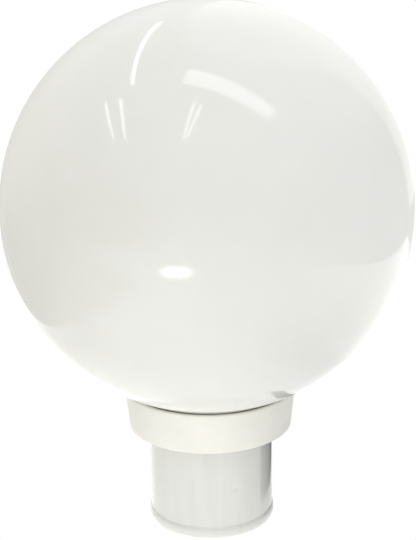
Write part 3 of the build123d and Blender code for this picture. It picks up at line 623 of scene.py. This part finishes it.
# A spun tube, its bead a half sine. The wall's radius is R + s (sin 2a + 0.6 sin 5a sin 70z),
# a slow swell s, less d exp(-(u^2 + w^2)) at each punched mark, u and w counted in mark widths.
def buildSleeve(v):
    low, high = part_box("post_sleeve")
    outer = cadBoxRadius("post_sleeve") - v["beadBulgeMm"] * mm
    wall = v["wallMm"] * mm
    bore = outer - wall
    bulge = v["beadBulgeMm"] * mm
    step = v["mouthStepMm"] * mm
    beadTop = low.z + v["beadHeightMm"] * mm
    top = high.z
    flangeUnder = top - v["flangeMm"] * mm
    shoulderLow = low.z + v["shoulderLowMm"] * mm
    shoulderTop = low.z + v["shoulderTopMm"] * mm
    topOuter = outer - v["neckInMm"] * mm
    ledgeZ = low.z + v["ledgeZMm"] * mm
    ledgeR = bore - v["ledgeMm"] * mm
    flangeBore = v["flangeBoreMm"] * mm
    # the bead's section: a half sine from the tube's wall out by the bulge and back to the mouth
    k = np.linspace(0, 1, 19)[:, None]
    beadZ = beadTop + (low.z + v["lipMm"] * mm - beadTop) * k
    beadOut = outer + bulge * np.sin(pi * k) ** 0.8 + step * k ** 3
    beadIn = bore + bulge * 0.9 * np.sin(pi * k) ** 0.8 + step * k ** 3
    beadOuter = np.concatenate([beadOut, beadZ], axis=1)
    beadInner = np.concatenate([beadIn, beadZ], axis=1)[::-1]
    lip = np.array([[outer + step - 0.15 * mm, low.z + 0.1 * mm], [outer + step - 0.5 * mm, low.z],
                    [bore + step + 0.5 * mm, low.z], [bore + step + 0.15 * mm, low.z + 0.1 * mm]])
    body = steppedLine((outer, shoulderLow), (outer, beadTop), v["rowMm"] * mm)
    head = roundCorners([
        (bore, ledgeZ - 1 * mm, 0), (bore, ledgeZ, 0.2 * mm), (ledgeR, ledgeZ, 0.2 * mm),
        (ledgeR, flangeUnder, 0.5 * mm), (flangeBore, flangeUnder, 0.3 * mm),
        (flangeBore, top, 0.3 * mm), (topOuter, top, 0.6 * mm), (topOuter, shoulderTop, 0.3 * mm),
        (outer, shoulderLow, 0),
    ], closed=False)
    boreRun = steppedLine((bore, beadTop), (bore, ledgeZ - 1 * mm), v["boreRowMm"] * mm)
    profile = np.concatenate([body[1:-1], beadOuter, lip, beadInner, boreRun[1:-1], head])
    markAngle = radians(v["markAngleDeg"])

    def shape(r, z, a):
        onWall = (r > outer - touching) & (z > beadTop) & (z < shoulderLow)
        swell = v["swellMm"] * mm * (np.sin(2 * a + 0.6) + 0.6 * np.sin(5 * a + 1.9) * np.sin(z * 70))
        fade = np.clip((z - beadTop) / (8 * mm), 0, 1) * np.clip((shoulderLow - z) / (8 * mm), 0, 1)
        dent = np.zeros_like(r)
        for mark in range(3):
            away = np.mod(a - markAngle - mark * fullTurn / 3 + pi, fullTurn) - pi
            u = away * outer / (v["markWidthMm"] * mm)
            w = (z - low.z - v["markZMm"] * mm) / (v["markHeightMm"] * mm)
            dent = dent + np.exp(-(u * u + w * w))
        return r + onWall * (swell * fade - dent * v["markDepthMm"] * mm)

    sleeve = turnedPiece("sleeveShell", profile, v["columns"], shape=shape)
    return finishPiece(sleeve, "white_powder_coat", "post_cap", "post_sleeve")


sleeveShell = buildSleeve(sleeveValues)
print("sleeve built")

# Studio.
studioValues = {
    "cameraDistance": 5.5672, "cameraElevationDeg": 12.465, "rollDeg": 0.973,
    "aimHeight": 0.1656, "aimRight": 0.0, "lensMm": 75.85,
}
# Sheets of the studio: one corner and the two sides that start there, in metres, the colour,
# and how much the sheet glows by itself.
sheetValues = {
    "studioTable": {
        "corner": (-0.25, -0.42, 0), "along": (0.8, 0, 0), "up": (0, 0.95, 0), "hex": "e6e6e2", "glow": 0.62,
    },
    "frontTable": {
        "corner": (-0.9, -1.3, 0), "along": (1.9, 0, 0), "up": (0, 0.88, 0), "hex": "d8d8d3", "glow": 0.42,
    },
    "rightFlag": {
        "corner": (0.15, -0.3, 0), "along": (0, 0.75, 0), "up": (0, 0, 0.1), "hex": "4a4a48", "glow": 0.0,
    },
    "sleeveFlag": {
        "corner": (0.066, -0.015, 0), "along": (0, 0.13, 0), "up": (0, 0, 0.043),
        "hex": "141414", "glow": 0.0,
    },
    "leftFlag": {
        "corner": (-0.2, -0.15, 0), "along": (0, 0.55, 0), "up": (0, 0, 0.11), "hex": "5a5752", "glow": 0.0,
    },
}


# The corners are c, c + a, c + a + u and c + u.
def buildSheet(name, v):
    corner, along, up = (np.array(v[key], float) for key in ("corner", "along", "up"))
    corner = corner + np.array([0, 0, cadLow.z])
    points = np.array([corner, corner + along, corner + along + up, corner + up])
    sheet = meshPiece(name, points, [[0, 1, 2, 3]])
    paper = bpy.data.materials.new(name + "Paper")
    paper.use_nodes = True
    shader = paper.node_tree.nodes["Principled BSDF"]
    shader.inputs["Base Color"].default_value = linearColour(v["hex"])
    shader.inputs["Roughness"].default_value = 0.9
    shader.inputs["Specular IOR Level"].default_value = 0.1
    shader.inputs["Emission Color"].default_value = (1, 1, 1, 1)
    shader.inputs["Emission Strength"].default_value = v["glow"]
    sheet.data.materials.append(paper)
    return sheet


# The ground of the picture is the white room itself. The two tables under the object light it
# and show in its gloss, and dark flags beside it give its sides their shade.
sheets = {name: buildSheet(name, v) for name, v in sheetValues.items()}
for sheet in sheets.values():
    sheet.visible_camera = False
for name in ("rightFlag", "leftFlag"):
    sheets[name].visible_glossy = False

# Room light: each entry is a colour that takes over towards one side of the room.
# "way" is the side, "start" and "full" say how far towards it the colour begins and is complete.
worldValues = {
    "front": "fafaf8",
    "sides": [
        {"hex": "cacac7", "way": (0, 1, 0), "start": 0.0, "full": 0.8},
        {"hex": "f0e9dc", "way": (-1, 0, 0), "start": 0.3, "full": 0.9},
        {"hex": "cbccca", "way": (1, 0, 0), "start": 0.35, "full": 0.9},
        {"hex": "9c8c78", "way": (-0.87, -0.45, 0.15), "start": 0.62, "full": 0.97},
        {"hex": "cfcfca", "way": (0, 0, -1), "start": 0.0, "full": 0.3},
        {"hex": "f2f2f0", "way": (0, 0, 1), "start": 0.1, "full": 0.6},
    ],
    "strength": 1.08,
}


# Each side's colour takes over by its share, a smooth step of the direction's part along "way".
def buildWorld(v):
    world = bpy.data.worlds.new("paleRoom")
    bpy.context.scene.world = world
    world.use_nodes = True
    tree = world.node_tree
    tree.nodes.clear()
    place = addNode(tree, "ShaderNodeTexCoord")
    last = None
    for side in v["sides"]:
        along = addNode(tree, "ShaderNodeVectorMath", {"operation": "DOT_PRODUCT"})
        tree.links.new(place.outputs["Generated"], along.inputs[0])
        along.inputs[1].default_value = side["way"]
        share = addNode(tree, "ShaderNodeMapRange",
                        {"interpolation_type": "SMOOTHSTEP", "From Min": side["start"],
                         "From Max": side["full"]},
                        {"Value": (along, "Value")})
        mixed = addNode(tree, "ShaderNodeMix", {"data_type": "RGBA"})
        mixed.inputs[7].default_value = linearColour(side["hex"])
        tree.links.new(share.outputs["Result"], mixed.inputs[0])
        if last is None:
            mixed.inputs[6].default_value = linearColour(v["front"])
        else:
            tree.links.new(last.outputs[2], mixed.inputs[6])
        last = mixed
    room = addNode(tree, "ShaderNodeBackground", {"Strength": v["strength"]}, {"Color": (last, 2)})
    plain = addNode(tree, "ShaderNodeBackground", {"Color": (1, 1, 1, 1), "Strength": 1.0})
    seen = addNode(tree, "ShaderNodeLightPath")
    both = addNode(tree, "ShaderNodeMixShader")
    tree.links.new(seen.outputs["Is Camera Ray"], both.inputs[0])
    tree.links.new(room.outputs[0], both.inputs[1])
    tree.links.new(plain.outputs[0], both.inputs[2])
    addNode(tree, "ShaderNodeOutputWorld", {}, {"Surface": (both, "Shader")})


buildWorld(worldValues)

# Lamps, each a flat panel between two points of its middle line, "wide" across, glowing with
# brightness "glow". "shape" is RECTANGLE unless it says otherwise. They hang at the ceiling,
# 2.2 m up, except the wall lamp and the small one that lights a spot of the table.
ceiling = 2.2
lampValues = {
    "ceilingPanel": {"line": ((0.0, 3.2, ceiling), (2.6, 2.14, ceiling)), "wide": 7.0, "glow": 0.34},
    "ceilingBand": {"line": ((-0.28, -0.24, ceiling), (1.3, -0.92, ceiling)), "wide": 0.34, "glow": 2.8},
    "ceilingStrip": {"line": ((-1.14, -0.05, ceiling), (-0.55, 1.8, ceiling)), "wide": 0.06, "glow": 6.0},
    "leftTube": {"line": ((-1.82, -0.08, ceiling), (-2.23, -1.16, ceiling)), "wide": 0.06, "glow": 4.5},
    "leftTubeNext": {"line": ((-1.46, -0.23, ceiling), (-1.92, -1.33, ceiling)), "wide": 0.07, "glow": 4.5},
    "frontTube": {"line": ((-0.19, -0.87, ceiling), (-0.49, -1.82, ceiling)), "wide": 0.05, "glow": 4.5},
    "frontTubeNext": {"line": ((-0.06, -0.95, ceiling), (-0.42, -1.83, ceiling)), "wide": 0.05, "glow": 4.5},
    "wallLamp": {"line": ((-2.02, -0.26, 0.83), (-1.98, -0.46, 0.81)), "wide": 0.03, "glow": 5.0},
    "tableSpot": {"line": ((-0.245, -0.605, 0.027), (-0.09, -0.645, 0.027)), "wide": 0.16,
                  "glow": 12.0, "shape": "ELLIPSE"},
}


# Each panel is turned to face the object; the table's spot lamp faces down.
def buildLamps(lamps):
    target = Vector((0, 0, 0.2))
    for name, v in lamps.items():
        start, end = Vector(v["line"][0]), Vector(v["line"][1])
        middle = (start + end) / 2
        light = bpy.data.lights.new(name, "AREA")
        light.shape = v.get("shape", "RECTANGLE")
        light.size = (end - start).length
        light.size_y = v["wide"]
        # a flat lamp of brightness B and area A gives pi B A watts
        light.energy = v["glow"] * pi * light.size * light.size_y
        along = (end - start).normalized()
        out = Vector((0, 0, 1)) if start.z < 0.1 else (middle - target).normalized()
        across = out.cross(along).normalized()
        out = along.cross(across)
        turn = Matrix((along, across, out)).transposed().to_4x4()
        lamp = bpy.data.objects.new(name, light)
        bpy.context.scene.collection.objects.link(lamp)
        lamp.matrix_world = Matrix.Translation(middle) @ turn


buildLamps(lampValues)


# The camera stands in front of the globe, "cameraDistance" globe radii from its centre.
def buildCamera(v):
    low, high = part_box("globe")
    radius = (high.x - low.x) / 2
    centreZ = high.z - radius
    away = v["cameraDistance"] * radius
    tilt = radians(v["cameraElevationDeg"])
    at = Vector((0, -away * cos(tilt), centreZ + away * sin(tilt)))
    aim = Vector((v["aimRight"], 0, v["aimHeight"]))
    turn = (aim - at).to_track_quat("-Z", "Y").to_matrix().to_4x4()
    roll = Matrix.Rotation(radians(-v["rollDeg"]), 4, "Z")
    data = bpy.data.cameras.new("studioCamera")
    data.lens = v["lensMm"]
    data.sensor_width = 36
    data.clip_start = 0.01
    data.clip_end = 100
    camera = bpy.data.objects.new("studioCamera", data)
    bpy.context.scene.collection.objects.link(camera)
    camera.matrix_world = Matrix.Translation(at) @ turn @ roll
    bpy.context.scene.camera = camera


buildCamera(studioValues)
bpy.context.scene.view_settings.view_transform = "Standard"
print("studio ready")
